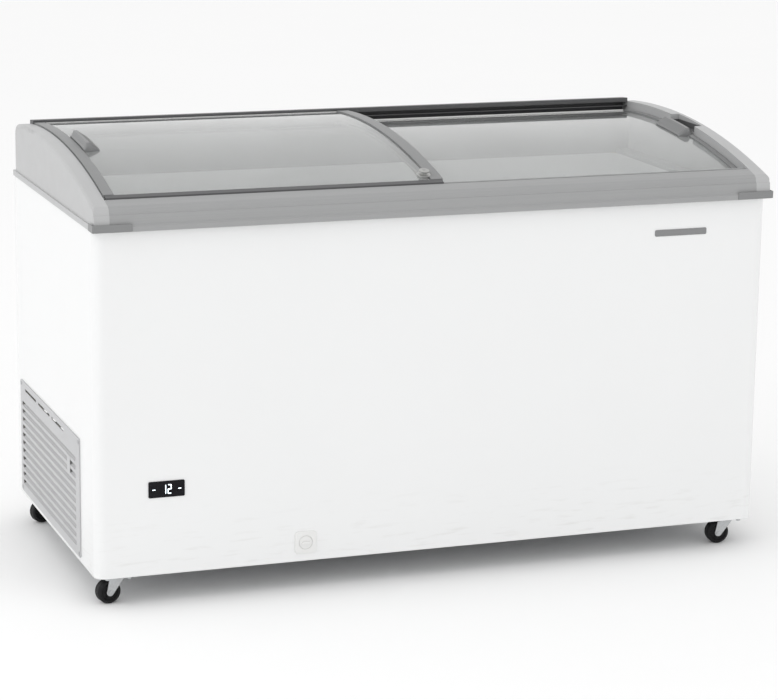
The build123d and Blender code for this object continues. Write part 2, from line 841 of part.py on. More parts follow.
def handle(foot_x, drop):
    """Wedge-shaped pull on a lid's glass; its steep face stands at foot_x, towards the end cap."""
    side = 1 if foot_x > 0 else -1
    with BuildPart() as pull:
        with BuildSketch(Plane.YZ.offset(foot_x)):
            add(crown_band(drop - handle_height, drop, *handle_setbacks))
        extrude(amount=-side * handle_width)
        for toward_middle, inward, downward in ((True, 21, 12.5), (False, 6, 11)):
            top = pull.faces().sort_by(Axis.Z)[-1]
            edge = top.edges().sort_by(Axis.X)[0 if toward_middle == (side > 0) else -1]
            chamfer(edge, length=inward, length2=downward, reference=top)
    return pull.part


def gliders(left, right, drop, glass_front, glass_rear, groove_floor):
    """Plastic runners along a lid's front and rear edges."""
    under = drop + glass
    foot_front = back(glass_front - 1)
    foot_rear = back(glass_front + 9)
    with BuildPart() as pair:
        with BuildSketch(Plane.YZ.offset(left)):
            add(crown_band(drop - 1.5, under, glass_front - 1, glass_front + 12))
            with BuildLine():
                Polyline(
                    (foot_front, groove_floor + 0.5),
                    (foot_rear, groove_floor + 0.5),
                    (foot_rear, crown_z(foot_rear, under - 1)),
                    (foot_front, crown_z(foot_front, under - 1)),
                    close=True,
                )
            make_face()
            add(crown_band(drop, under, glass_front, glass_front + 14), mode=Mode.SUBTRACT)
            add(crown_band(under, under + 5.5, glass_rear - 20, 676))
        extrude(amount=right - left)
    return pair.part


def edge_trim(outer, inner, wall_inner, drop, thickness, setback_start, setback_end):
    """Strip on top of a lid's glass along its side edge, with a lip down that edge."""
    with BuildPart() as trim:
        with BuildSketch(Plane.YZ.offset(outer)):
            add(crown_band(drop - thickness, drop, setback_start, setback_end))
        extrude(amount=inner - outer)
        with BuildSketch(Plane.YZ.offset(outer)):
            add(crown_band(drop - thickness, drop + glass, setback_start, setback_end))
        extrude(amount=wall_inner - outer)
    return trim.part


with BuildPart() as left_glass:
    with BuildSketch(Plane.YZ.offset(-glass_end)):
        add(crown_band(outer_glass_drop, outer_glass_drop + glass, 31, outer_glass_rear))
    extrude(amount=glass_end + overlap)
    with BuildSketch(lock_plane):
        Circle(9.3)
    extrude(amount=20, both=True, mode=Mode.SUBTRACT)
save(left_glass.part, "left_glass")

with BuildPart() as right_glass:
    with BuildSketch(Plane.YZ.offset(-overlap)):
        add(crown_band(inner_glass_drop, inner_glass_drop + glass, 49, inner_glass_rear))
    extrude(amount=glass_end + overlap)
save(right_glass.part, "right_glass")

with BuildPart() as left_gliders:
    add(
        gliders(
            -glass_end,
            overlap,
            outer_glass_drop,
            outer_glass_front,
            outer_glass_rear,
            outer_groove_floor,
        )
    )
save(left_gliders.part, "left_gliders")

with BuildPart() as right_gliders:
    add(
        gliders(
            -overlap,
            glass_end,
            inner_glass_drop,
            inner_glass_front,
            inner_glass_rear,
            inner_groove_floor,
        )
    )
save(right_gliders.part, "right_gliders")

left_pull = handle(-(lid_end - left_trim_width - 1.5), outer_glass_drop)
right_pull = handle(cap_inner_x - 5, inner_glass_drop)
with BuildPart() as left_handle:
    add(left_pull)
save(left_handle.part, "left_handle")
with BuildPart() as right_handle:
    add(right_pull)
save(right_handle.part, "right_handle")

with BuildPart() as left_end_trim:
    add(
        edge_trim(
            -lid_end, -lid_end + left_trim_width, -glass_end, outer_glass_drop, 2.5, 43.5, 649
        )
    )
save(left_end_trim.part, "left_end_trim")

with BuildPart() as right_end_trim:
    add(edge_trim(lid_end, lid_end - 12.5, glass_end, inner_glass_drop, 2.5, 62, 645))
    add(right_pull, mode=Mode.SUBTRACT)
save(right_end_trim.part, "right_end_trim")

with BuildPart() as centre_trim:
    add(edge_trim(overlap + 3, -13, overlap, outer_glass_drop, 3, 43.5, 649))
    with BuildSketch(lock_plane):
        Circle(lock_flange_radius + 0.3)
    extrude(amount=20, both=True, mode=Mode.SUBTRACT)
save(centre_trim.part, "centre_trim")

with BuildPart() as meeting_trim:
    add(edge_trim(-overlap - 3, 0, -overlap, inner_glass_drop, 2.5, 62, 645))
save(meeting_trim.part, "meeting_trim")

seal_clearance = 0.3
with BuildPart() as centre_seal:
    with BuildSketch(Plane.YZ.offset(3)):
        seal_top = outer_glass_drop + glass
        add(crown_band(seal_top, inner_glass_drop - seal_clearance, 64, 628))
    extrude(amount=6)
save(centre_seal.part, "centre_seal")

with BuildPart() as lock_bezel:
    with BuildSketch(lock_plane):
        Circle(lock_flange_radius)
    extrude(amount=3)
    fillet(lock_bezel.faces().sort_by(Axis.Z)[-1].edges(), 1)
    with BuildSketch(lock_plane):
        Circle(9)
    extrude(amount=-15)
    with BuildSketch(lock_plane.offset(-8.2)):
        RegularPolygon(13, 6)
    extrude(amount=4)
    with BuildSketch(lock_plane.offset(-20)):
        Circle(plunger_radius + 0.06)
    extrude(amount=40, mode=Mode.SUBTRACT)
save(lock_bezel.part, "lock_bezel")

head_bottom = 3.4 + plunger_travel
with BuildPart() as lock_plunger:
    with BuildSketch(lock_plane.offset(-17.4)):
        Circle(plunger_radius)
    extrude(amount=17.4 + head_bottom)
    with BuildSketch(lock_plane.offset(head_bottom)):
        Circle(11)
    extrude(amount=3)
    fillet(lock_plunger.faces().sort_by(Axis.Z)[-1].edges(), 0.8)
save(lock_plunger.part, "lock_plunger")

# ---- casters ------------------------------------------------------------------------------
wheel_radius = 25
wheel_width = 24
wheel_trail = 18
axle_radius = 4
plate_size = 58
plate_bottom = underside - 2.5
race_bottom = 54.3
fork_top = 54
fork_thickness = 2
leg_inner = wheel_width / 2 + 1

with BuildPart() as caster_plates:
    with BuildSketch(Plane.XY.offset(plate_bottom)):
        for centre in caster_centres:
            with Locations(centre):
                RectangleRounded(plate_size, plate_size, 6)
                with GridLocations(caster_bolt_spacing, caster_bolt_spacing, 2, 2):
                    Circle(caster_hole_radius, mode=Mode.SUBTRACT)
    extrude(amount=underside - plate_bottom)
    for bottom, top, radius in (
        (race_bottom, plate_bottom, 17),
        (51.6, race_bottom, axle_radius),
        (50.2, 51.6, 6.5),
    ):
        with BuildSketch(Plane.XY.offset(bottom)):
            with Locations(*caster_centres):
                Circle(radius)
        extrude(amount=top - bottom)
save(caster_plates.part, "caster_plates")

with BuildPart() as caster_bolts:
    for centre in caster_centres:
        for bottom, top, radius in (
            (plate_bottom - 4, plate_bottom, 5.5),
            (foam_bottom, foam_bottom + 5, 5.5),
        ):
            with BuildSketch(Plane.XY.offset(bottom)):
                with Locations(centre):
                    with GridLocations(caster_bolt_spacing, caster_bolt_spacing, 2, 2):
                        RegularPolygon(radius, 6)
            extrude(amount=top - bottom)
        with BuildSketch(Plane.XY.offset(plate_bottom)):
            with Locations(centre):
                with GridLocations(caster_bolt_spacing, caster_bolt_spacing, 2, 2):
                    Circle(caster_bolt_radius)
        extrude(amount=foam_bottom - plate_bottom)
save(caster_bolts.part, "caster_bolts")

for place, (x, y, angle) in caster_places.items():
    stand = Location((x, y, 0), (0, 0, angle))
    with BuildPart() as fork:
        with BuildSketch(Plane.XY.offset(fork_top - fork_thickness)):
            with Locations((4, 0)):
                RectangleRounded(32, 2 * (leg_inner + fork_thickness), 3)
            Circle(axle_radius + 0.06, mode=Mode.SUBTRACT)
        extrude(amount=fork_thickness)
        for plane in (Plane.XZ.offset(leg_inner), Plane.XZ.offset(-leg_inner - fork_thickness)):
            with BuildSketch(plane):
                with Locations((4, fork_top - 1)):
                    Rectangle(31, 2)
                with Locations((wheel_trail, wheel_radius)):
                    Circle(7.5)
                make_hull()
            extrude(amount=fork_thickness)
        with BuildSketch(Plane.XZ.offset(-leg_inner - fork_thickness - 2)):
            with Locations((wheel_trail, wheel_radius)):
                Circle(axle_radius)
        extrude(amount=2 * (leg_inner + fork_thickness + 2))
    save(fork.part.moved(stand), f"fork_{place}")

    with BuildPart() as wheel:
        with BuildSketch(Plane.XZ.offset(-wheel_width / 2)):
            with Locations((wheel_trail, wheel_radius)):
                Circle(wheel_radius)
        extrude(amount=wheel_width)
        fillet(wheel.edges().filter_by(GeomType.CIRCLE), 5)
        for plane in (Plane.XZ.offset(wheel_width / 2), Plane.XZ.offset(-wheel_width / 2 + 2.5)):
            with BuildSketch(plane):
                with Locations((wheel_trail, wheel_radius)):
                    Circle(17)
                    Circle(8, mode=Mode.SUBTRACT)
            extrude(amount=-2.5 if plane.origin.Y < 0 else 2.5, mode=Mode.SUBTRACT)
        with BuildSketch(Plane.XZ.offset(-wheel_width / 2)):
            with Locations((wheel_trail, wheel_radius)):
                Circle(axle_radius + 0.05)
        extrude(amount=wheel_width, mode=Mode.SUBTRACT)
    save(wheel.part.moved(stand), f"wheel_{place}")
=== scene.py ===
import json
import math

import bmesh
import bpy
from mathutils import Matrix, Vector


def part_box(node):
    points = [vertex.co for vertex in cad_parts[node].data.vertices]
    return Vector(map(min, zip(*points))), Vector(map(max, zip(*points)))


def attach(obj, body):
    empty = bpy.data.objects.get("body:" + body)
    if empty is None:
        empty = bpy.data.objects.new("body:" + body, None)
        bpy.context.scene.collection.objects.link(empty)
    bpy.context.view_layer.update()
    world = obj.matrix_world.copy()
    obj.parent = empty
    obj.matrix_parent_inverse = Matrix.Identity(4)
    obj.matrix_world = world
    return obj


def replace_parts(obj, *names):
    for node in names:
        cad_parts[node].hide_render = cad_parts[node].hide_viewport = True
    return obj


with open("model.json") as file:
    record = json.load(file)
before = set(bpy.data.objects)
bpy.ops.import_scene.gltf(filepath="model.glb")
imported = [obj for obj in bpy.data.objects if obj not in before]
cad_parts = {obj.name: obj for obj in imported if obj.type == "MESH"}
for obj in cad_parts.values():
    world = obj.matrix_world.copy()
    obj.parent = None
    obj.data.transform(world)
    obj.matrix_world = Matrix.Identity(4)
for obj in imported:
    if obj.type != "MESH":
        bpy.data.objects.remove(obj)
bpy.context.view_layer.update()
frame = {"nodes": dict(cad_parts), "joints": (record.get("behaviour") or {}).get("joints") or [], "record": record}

nodes = frame["nodes"]


# ---- materials: a small kit ----------------------------------------------------------------
class Finish:
    """One procedural material, built up call by call on a Principled shader."""

    def __init__(self, name, colour, roughness, metallic=0.0):
        self.material = bpy.data.materials.new(name)
        self.material.use_nodes = True
        self.tree = self.material.node_tree
        self.shader = self.tree.nodes["Principled BSDF"]
        self.shader.inputs["Metallic"].default_value = metallic
        self.coordinates = self.tree.nodes.new("ShaderNodeTexCoord").outputs["Object"]
        self.colour = self.node("ShaderNodeRGB").outputs[0]
        self.colour.default_value = (*colour, 1)
        self.roughness = self.number(roughness)
        self.height = None
        self.normal = None

    def node(self, kind, **settings):
        made = self.tree.nodes.new(kind)
        for key, value in settings.items():
            setattr(made, key, value)
        return made

    def number(self, value):
        made = self.node("ShaderNodeValue").outputs[0]
        made.default_value = value
        return made

    def join(self, source, target):
        self.tree.links.new(source, target)

    def math(self, operation, first, second):
        made = self.node("ShaderNodeMath", operation=operation)
        for value, socket in zip((first, second), made.inputs):
            if isinstance(value, (int, float)):
                socket.default_value = value
            else:
                self.join(value, socket)
        return made.outputs[0]

    def stretched(self, stretch):
        """Object coordinates scaled along each axis, for grain that runs one way."""
        made = self.node("ShaderNodeMapping")
        made.inputs["Scale"].default_value = stretch
        self.join(self.coordinates, made.inputs["Vector"])
        return made.outputs["Vector"]

    def noise(self, scale, detail=3.0, stretch=(1, 1, 1)):
        made = self.node("ShaderNodeTexNoise")
        made.inputs["Scale"].default_value = scale
        made.inputs["Detail"].default_value = detail
        self.join(self.stretched(stretch), made.inputs["Vector"])
        return made.outputs["Fac"]

    def cells(self, scale, feature="F1"):
        made = self.node("ShaderNodeTexVoronoi", feature=feature)
        made.inputs["Scale"].default_value = scale
        self.join(self.stretched((1, 1, 1)), made.inputs["Vector"])
        return made.outputs["Distance"]

    def ramp(self, source, low, high, bottom=0.0, top=1.0):
        made = self.node("ShaderNodeMapRange", clamp=True)
        for socket, value in zip(made.inputs[1:5], (low, high, bottom, top)):
            socket.default_value = value
        self.join(source, made.inputs[0])
        return made.outputs[0]

    def height_above_floor(self):
        made = self.node("ShaderNodeSeparateXYZ")
        self.join(self.coordinates, made.inputs[0])
        return made.outputs["Z"]

    def tint(self, mask, colour):
        """Moves the colour towards another one where the mask is high."""
        made = self.node("ShaderNodeMix", data_type="RGBA")
        self.join(mask, made.inputs["Factor"])
        self.join(self.colour, made.inputs["A"])
        made.inputs["B"].default_value = (*colour, 1)
        self.colour = made.outputs["Result"]

    def roughen(self, mask, amount):
        self.roughness = self.math("ADD", self.roughness, self.math("MULTIPLY", mask, amount))

    def raise_surface(self, mask, millimetres):
        """Adds relief of this height where the mask is high."""
        lifted = self.math("MULTIPLY", mask, millimetres / 1000)
        self.height = lifted if self.height is None else self.math("ADD", self.height, lifted)

    def round_edges(self, millimetres):
        made = self.node("ShaderNodeBevel", samples=4)
        made.inputs["Radius"].default_value = millimetres / 1000
        self.normal = made.outputs["Normal"]

    def edge_mask(self, millimetres):
        """High within this distance of a sharp edge: where a surface is rubbed first, and where a painted
        highlight goes.
        """
        rounded = self.node("ShaderNodeBevel", samples=4)
        rounded.inputs["Radius"].default_value = millimetres / 1000
        flat = self.node("ShaderNodeNewGeometry")
        across = self.node("ShaderNodeVectorMath", operation="DOT_PRODUCT")
        self.join(rounded.outputs["Normal"], across.inputs[0])
        self.join(flat.outputs["Normal"], across.inputs[1])
        return self.ramp(across.outputs["Value"], 0.98, 0.85)

    def set(self, **sockets):
        """Sets shader sockets by name, with underscores for spaces."""
        for name, value in sockets.items():
            self.shader.inputs[name.replace("_", " ")].default_value = value

    def done(self):
        """Links what was built up to the shader and hands back the material."""
        self.join(self.colour, self.shader.inputs["Base Color"])
        self.join(self.roughness, self.shader.inputs["Roughness"])
        if self.height is not None:
            bump = self.node("ShaderNodeBump")
            bump.inputs["Distance"].default_value = 1
            self.join(self.height, bump.inputs["Height"])
            if self.normal is not None:
                self.join(self.normal, bump.inputs["Normal"])
            self.normal = bump.outputs["Normal"]
        if self.normal is not None:
            self.join(self.normal, self.shader.inputs["Normal"])
        return self.material


def shade(colour, factor):
    return tuple(channel * factor for channel in colour)


# ---- materials of the freezer --------------------------------------------------------------
def enamel():
    """Baked white enamel on sheet steel: orange peel, soft panel waves, scuffs near the floor."""
    white = (0.87, 0.875, 0.875)
    paint = Finish("white_enamel", white, 0.3)
    paint.tint(paint.ramp(paint.noise(2.2), 0.35, 0.7, 0, 0.35), shade(white, 0.965))
    low_down = paint.ramp(paint.height_above_floor(), 0.22, 0.06)
    scuffs = paint.ramp(paint.noise(60, 5, (0.25, 0.25, 1.6)), 0.56, 0.72)
    marks = paint.math("MULTIPLY", low_down, scuffs)
    paint.tint(paint.math("MULTIPLY", marks, 0.35), (0.66, 0.65, 0.63))
    paint.roughen(marks, 0.2)
    paint.roughen(paint.noise(9), 0.08)
    paint.raise_surface(paint.noise(650, 2), 0.035)
    paint.raise_surface(paint.noise(5, 1), 0.35)
    paint.round_edges(0.8)
    paint.set(Coat_Weight=0.35, Coat_Roughness=0.12)
    return paint.done()


def moulded_plastic(name, colour, roughness, grain=0.02, edge_wear_and_highlight=0.25, gloss=0.5):
    """Injection moulded plastic with a fine grain, slight flow marks and paler edges, partly rubbed and partly a
    painted highlight.
    """
    plastic = Finish(name, colour, roughness)
    plastic.tint(plastic.ramp(plastic.noise(6, 4), 0.3, 0.75, 0, 0.5), shade(colour, 0.9))
    plastic.tint(plastic.ramp(plastic.noise(900, 2), 0.55, 0.75, 0, 0.25), shade(colour, 1.12))
    # Paler edges: partly rubbing, partly a painted highlight where light catches the edge.
    worn_and_highlit = plastic.math("MULTIPLY", plastic.edge_mask(1.2), plastic.noise(45, 4))
    plastic.tint(plastic.math("MULTIPLY", worn_and_highlit, edge_wear_and_highlight), shade(colour, 1.35))
    plastic.roughen(plastic.noise(28, 4), 0.14)
    plastic.raise_surface(plastic.cells(1400), grain)
    plastic.round_edges(0.7)
    plastic.set(Specular_IOR_Level=gloss)
    return plastic.done()


def extruded_plastic(name, colour, roughness):
    """Extruded profile: faint drawing lines along its length and a satin face."""
    plastic = Finish(name, colour, roughness)
    lines = plastic.noise(420, 3, (0.004, 1, 1))
    plastic.tint(plastic.ramp(lines, 0.4, 0.65, 0, 0.3), shade(colour, 0.88))
    plastic.tint(plastic.ramp(plastic.noise(7, 4), 0.35, 0.75, 0, 0.35), shade(colour, 0.92))
    # Paler edges: partly rubbing, partly a painted highlight along the lips and ledges.
    worn_and_highlit = plastic.math("MULTIPLY", plastic.edge_mask(1.0), plastic.noise(60, 4))
    plastic.tint(plastic.math("MULTIPLY", worn_and_highlit, 0.3), shade(colour, 1.3))
    plastic.roughen(lines, 0.12)
    plastic.raise_surface(lines, 0.03)
    plastic.round_edges(0.6)
    return plastic.done()


def lid_glass():
    """Tempered lid glass: clear, with a slight roller wave and a light whitish veil, partly fingerprints and
    partly a painted sheen for the reflected studio.
    """
    glass = Finish("lid_glass", (0.96, 0.975, 0.97), 0.01)
    smears = glass.ramp(glass.noise(14, 6, (1, 0.4, 1)), 0.52, 0.85)
    glass.roughen(smears, 0.06)
    glass.raise_surface(glass.noise(3, 1), 0.1)
    # Whitish veil: partly fingerprints, partly a painted sheen standing in for the studio reflected at a glancing
    # angle.
    haze_and_painted_sheen = glass.ramp(glass.noise(5, 5, (0.6, 1, 1)), 0.3, 0.75, 0.9, 0.82)
    glass.join(haze_and_painted_sheen, glass.shader.inputs["Transmission Weight"])
    glass.set(IOR=1.5)
    return glass.done()


def stucco_liner():
    """Tank sheet of stucco-embossed aluminium with a pale lacquer and a trace of frost."""
    liner = Finish("stucco_liner", (0.955, 0.96, 0.96), 0.4)
    liner.tint(liner.ramp(liner.noise(4, 4), 0.4, 0.75, 0, 0.4), (0.92, 0.925, 0.93))
    frost = liner.ramp(liner.noise(11, 6), 0.55, 0.8, 0, 0.6)
    liner.tint(frost, (0.96, 0.97, 0.98))
    liner.roughen(frost, 0.35)
    liner.raise_surface(liner.cells(150, "SMOOTH_F1"), 0.18)
    return liner.done()


def zinc_plate():
    """Zinc-plated steel: small spangle, drawn scratches and duller patches."""
    colour = (0.55, 0.56, 0.57)
    zinc = Finish("zinc_plate", colour, 0.3, 0.9)
    zinc.tint(zinc.ramp(zinc.cells(260), 0.1, 0.7, 0, 0.4), shade(colour, 0.75))
    zinc.tint(zinc.ramp(zinc.noise(40, 5), 0.55, 0.8, 0, 0.4), (0.36, 0.35, 0.34))
    zinc.roughen(zinc.noise(90, 4, (1, 6, 1)), 0.25)
    zinc.raise_surface(zinc.noise(700, 3, (1, 8, 1)), 0.03)
    zinc.round_edges(0.3)
    return zinc.done()


def lock_metal():
    """Die-cast lock with a satin nickel plating, turned rings and worn rims."""
    metal = Finish("satin_nickel", (0.5, 0.5, 0.49), 0.24, 0.95)
    metal.tint(metal.ramp(metal.noise(160, 4), 0.5, 0.8, 0, 0.4), (0.33, 0.33, 0.32))
    metal.roughen(metal.noise(400, 3, (1, 1, 6)), 0.2)
    metal.raise_surface(metal.noise(900, 2), 0.02)
    metal.round_edges(0.4)
    return metal.done()


def black_enamel():
    """Thick black paint on the compressor and fan motor, dusty on its upper faces."""
    paint = Finish("black_enamel", (0.018, 0.018, 0.019), 0.32)
    dust = paint.ramp(paint.noise(35, 6), 0.5, 0.8, 0, 0.35)
    paint.tint(dust, (0.22, 0.21, 0.2))
    paint.roughen(dust, 0.5)
    paint.raise_surface(paint.noise(300, 2), 0.06)
    return paint.done()


def copper_tube():
    """Drawn copper with brown tarnish and a few bright rubbed stretches."""
    copper = Finish("copper_tube", (0.72, 0.36, 0.22), 0.28, 1.0)
    copper.tint(copper.ramp(copper.noise(25, 5), 0.4, 0.7, 0, 0.7), (0.34, 0.17, 0.1))
    copper.roughen(copper.noise(70, 4), 0.3)
    copper.raise_surface(copper.noise(500, 3), 0.02)
    return copper.done()


def fin_stock():
    """Thin bright aluminium, dull with dust between the fins."""
    fins = Finish("fin_stock", (0.68, 0.69, 0.7), 0.35, 0.9)
    fins.tint(fins.ramp(fins.noise(30, 5), 0.45, 0.75, 0, 0.6), (0.36, 0.35, 0.33))
    fins.roughen(fins.noise(60, 4), 0.3)
    fins.raise_surface(fins.noise(300, 3, (1, 1, 8)), 0.05)
    return fins.done()


def soft_rubber():
    """Soft black rubber, greyed by dust, with a fine pebble surface."""
    rubber = Finish("soft_rubber", (0.02, 0.02, 0.02), 0.75)
    rubber.tint(rubber.ramp(rubber.noise(50, 5), 0.5, 0.8, 0, 0.4), (0.1, 0.1, 0.1))
    rubber.roughen(rubber.noise(120, 3), 0.15)
    rubber.raise_surface(rubber.cells(900), 0.04)
    return rubber.done()


def display_lens():
    """Glossy black controller front with hairline wipe marks."""
    lens = Finish("display_lens", (0.008, 0.008, 0.01), 0.06)
    wiped = lens.ramp(lens.noise(70, 5, (0.15, 1, 1)), 0.5, 0.75)
    lens.tint(lens.math("MULTIPLY", wiped, 0.3), (0.035, 0.035, 0.04))
    lens.roughen(wiped, 0.16)
    lens.raise_surface(lens.noise(30, 1), 0.02)
    lens.round_edges(0.5)
    lens.set(Specular_IOR_Level=0.12)
    return lens.done()


def lit_segments():
    """Pale blue-white light of the digits, slightly uneven along each segment."""
    light = Finish("lit_segments", (0.8, 0.93, 1.0), 0.4)
    light.roughen(light.noise(200), 0.1)
    uneven = light.ramp(light.noise(260, 2), 0.3, 0.7, 2.2, 3.0)
    light.join(uneven, light.shader.inputs["Emission Strength"])
    light.set(Emission_Color=(0.85, 0.95, 1.0, 1))
    return light.done()


def foam():
    """Cut polyurethane foam, yellowish and full of small pores."""
    cut = Finish("cut_foam", (0.78, 0.7, 0.45), 0.9)
    cut.tint(cut.ramp(cut.cells(300), 0.1, 0.6, 0, 0.5), (0.6, 0.5, 0.28))
    cut.roughen(cut.noise(80), 0.08)
    cut.raise_surface(cut.cells(380), 0.4)
    return cut.done()


white = (0.84, 0.84, 0.83)
rail_grey = (0.35, 0.353, 0.355)
cap_grey = (0.48, 0.483, 0.485)
trim_grey = (0.24, 0.243, 0.245)
finishes = {
    "enamel": enamel(),
    "liner": stucco_liner(),
    "foam": foam(),
    "frame_plastic": extruded_plastic("rail_plastic", rail_grey, 0.36),
    "cap_plastic": moulded_plastic("cap_plastic", cap_grey, 0.3, 0.015),
    "dark_plastic": extruded_plastic("dark_plastic", (0.1, 0.101, 0.104), 0.42),
    "grille_plastic": moulded_plastic("grille_plastic", (0.54, 0.543, 0.55), 0.45),
    "trim_plastic": extruded_plastic("trim_plastic", trim_grey, 0.34),
    "glass": lid_glass(),
    "zinc": zinc_plate(),
    "wheel_plastic": moulded_plastic("wheel_nylon", (0.012, 0.012, 0.013), 0.45, 0.03, 0.5, 0.2),
    "lock_metal": lock_metal(),
    "black_enamel": black_enamel(),
    "copper": copper_tube(),
    "rubber": soft_rubber(),
    "lens": display_lens(),
    "digits": lit_segments(),
    "white_plastic": moulded_plastic("white_plastic", white, 0.3, 0.01),
    "fin_metal": fin_stock(),
}
for subpart in frame["record"]["subparts"]:
    mesh = nodes[subpart["node"]].data
    mesh.materials.clear()
    mesh.materials.append(finishes[subpart["material_slot"]])


# ---- pieces that need more detail than the frame holds ---------------------------------------
# The lids follow a crown of this radius, whose centre lies on this line along X.
crown_radius = 1.8
crown_y = 0.17
crown_centre_z = -0.9


def crown_z(y, drop):
    """Height of the crown at this depth, lowered by a drop."""
    return crown_centre_z + math.sqrt(crown_radius**2 - (y - crown_y) ** 2) - drop


smooth_angle = math.radians(35)


def make_piece(name, made, slot, body):
    """Turns a bmesh into a piece that rides on a body, with the finish of a material slot."""
    bmesh.ops.recalc_face_normals(made, faces=made.faces)
    mesh = bpy.data.meshes.new(name)
    made.to_mesh(mesh)
    made.free()
    for face in mesh.polygons:
        face.use_smooth = True
    mesh.set_sharp_from_angle(angle=smooth_angle)
    mesh.materials.append(finishes[slot])
    piece = bpy.data.objects.new(name, mesh)
    bpy.context.scene.collection.objects.link(piece)
    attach(piece, body)
    return piece


def skin(made, rings, closed=False):
    """Joins rings of equal length into a tube, with its ends capped or joined to each other."""
    loops = [[made.verts.new(point) for point in ring] for ring in rings]
    pairs = list(zip(loops, loops[1:]))
    if closed:
        pairs.append((loops[-1], loops[0]))
    for first, second in pairs:
        count = len(first)
        for index in range(count):
            after = (index + 1) % count
            made.faces.new((first[index], first[after], second[after], second[index]))
    if not closed:
        made.faces.new(loops[0])
        made.faces.new(list(reversed(loops[-1])))


def pull_section(width, height):
    """Outline of a lid pull across the lid: scooped outer face, ridge, ribbed slope, thin toe.

    Each point is (distance from the outer face, height above the glass)."""
    brow = 0.0065
    ridge_start, ridge_end = 0.006, 0.013
    toe = 0.005
    rib_count = 6
    groove = 0.0014
    outline = [(0.0006, 0), (0, 0.001), (0, brow - 0.001)]
    for step in range(1, 8):
        share = step / 8
        outline.append((ridge_start * share**0.6, brow + (height - brow) * share**1.5))
    outline += [(ridge_start + 0.001, height), (ridge_end - 0.001, height)]
    for rib in range(rib_count):
        for part, sunk in ((0.0, 0), (0.45, 0), (0.6, groove), (0.85, groove)):
            share = (rib + part) / rib_count
            along = ridge_end + (width - 0.002 - ridge_end) * share
            outline.append((along, height + (toe - height) * share - sunk))
    outline += [(width - 0.001, toe - 0.001), (width, 0.002), (width, 0.001), (width - 0.001, 0)]
    return outline


def lid_pull(name, node, body):
    """Replaces a plain wedge with a pull that has rounded ends and finger ribs."""
    low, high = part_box(node)
    side = 1 if low.x > 0 else -1
    outer = high.x if side > 0 else low.x
    base_drop = crown_z(low.y, 0) - low.z
    outline = pull_section(high.x - low.x, 0.0175)
    end_round = 0.006
    made = bmesh.new()
    rings = []
    steps = 40
    for step in range(steps + 1):
        y = low.y + (high.y - low.y) * step / steps
        to_end = min(y - low.y, high.y - y, end_round)
        lift = 0.55 + 0.45 * math.sqrt(1 - (1 - to_end / end_round) ** 2)
        rings.append(
            [
                Vector((outer - side * across, y, crown_z(y, base_drop) + up * lift))
                for across, up in outline
            ]
        )
    skin(made, rings)
    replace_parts(make_piece(name, made, "trim_plastic", body), node)


def rear_highlight_strip(name, body, left, right, drop, back_y, height):
    """White strip along the rear edge of a lid's glass, with chamfered top edges: a painted highlight for the
    bright reflection along that edge.
    """
    front_y = back_y - 0.0045
    corner = 0.001
    lift = 0.0001
    front_z = crown_z(front_y, drop)
    back_z = crown_z(back_y, drop)
    outline = (
        (front_y, front_z + lift),
        (front_y, front_z + height * 0.8),
        (front_y + corner, front_z + height),
        (back_y - corner, back_z + height),
        (back_y, back_z + height * 0.8),
        (back_y, back_z + lift),
    )
    made = bmesh.new()
    skin(made, [[Vector((x, y, z)) for y, z in outline] for x in (left, right)])
    make_piece(name, made, "white_plastic", body)


def recess_shade_lining():
    """Black sheets in the recess in the right end cap, a floor and three thin walls, that paint the shade of the
    recess.
    """
    recess = next(
        opening
        for opening in frame["record"]["physics"]["openings"]
        if opening["name"] == "right_finger_recess"
    )
    pull_low, pull_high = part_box("right_handle")
    near, far = pull_low.y, pull_high.y
    middle_y = (near + far) / 2
    inner = recess["box_m"][0][0] + 0.0038
    width = 0.0185
    outer = inner + width
    floor = crown_z(middle_y, 0.0196)
    top = crown_z(near, 0.0012)
    depth = top - floor
    middle_x = (inner + outer) / 2
    middle_z = (floor + top) / 2
    wall = 0.0004
    end_gap = 0.0006
    length = far - near - 2 * wall
    made = bmesh.new()
    for place, size in (
        ((middle_x, middle_y, floor), (width, length, wall)),
        ((outer, middle_y, middle_z), (wall, length, depth)),
        ((middle_x, near + end_gap, middle_z), (width, wall, depth)),
        ((middle_x, far - end_gap, middle_z), (width, wall, depth)),
    ):
        box_at(made, Matrix.Translation(place), size, 0.0001)
    # Dark sheets: painted shade inside the finger recess.
    make_piece("recess_shade_lining", made, "dark_plastic", "cabinet")


def revolve(made, profile, place, segments=64):
    """Turns (offset along the axis, radius) pairs round the local Y axis of a placement."""
    rings = []
    for along, radius in profile:
        turns = (math.tau * number / segments for number in range(segments))
        rings.append(
            [
                place @ Vector((radius * math.cos(turn), along, radius * math.sin(turn)))
                for turn in turns
            ]
        )
    skin(made, rings, closed=True)


def box_at(made, place, size, bevel):
    """A bar with rounded edges, centred on a placement."""
    matrix = place @ Matrix.Diagonal((*size, 1))
    verts = bmesh.ops.create_cube(made, size=1, matrix=matrix)["verts"]
    edges = list({edge for vert in verts for edge in vert.link_edges})
    bmesh.ops.bevel(made, geom=edges, offset=bevel, segments=2, affect="EDGES")


wheel_radius = 0.025
wheel_half_width = 0.012
wheel_bore = 0.0041


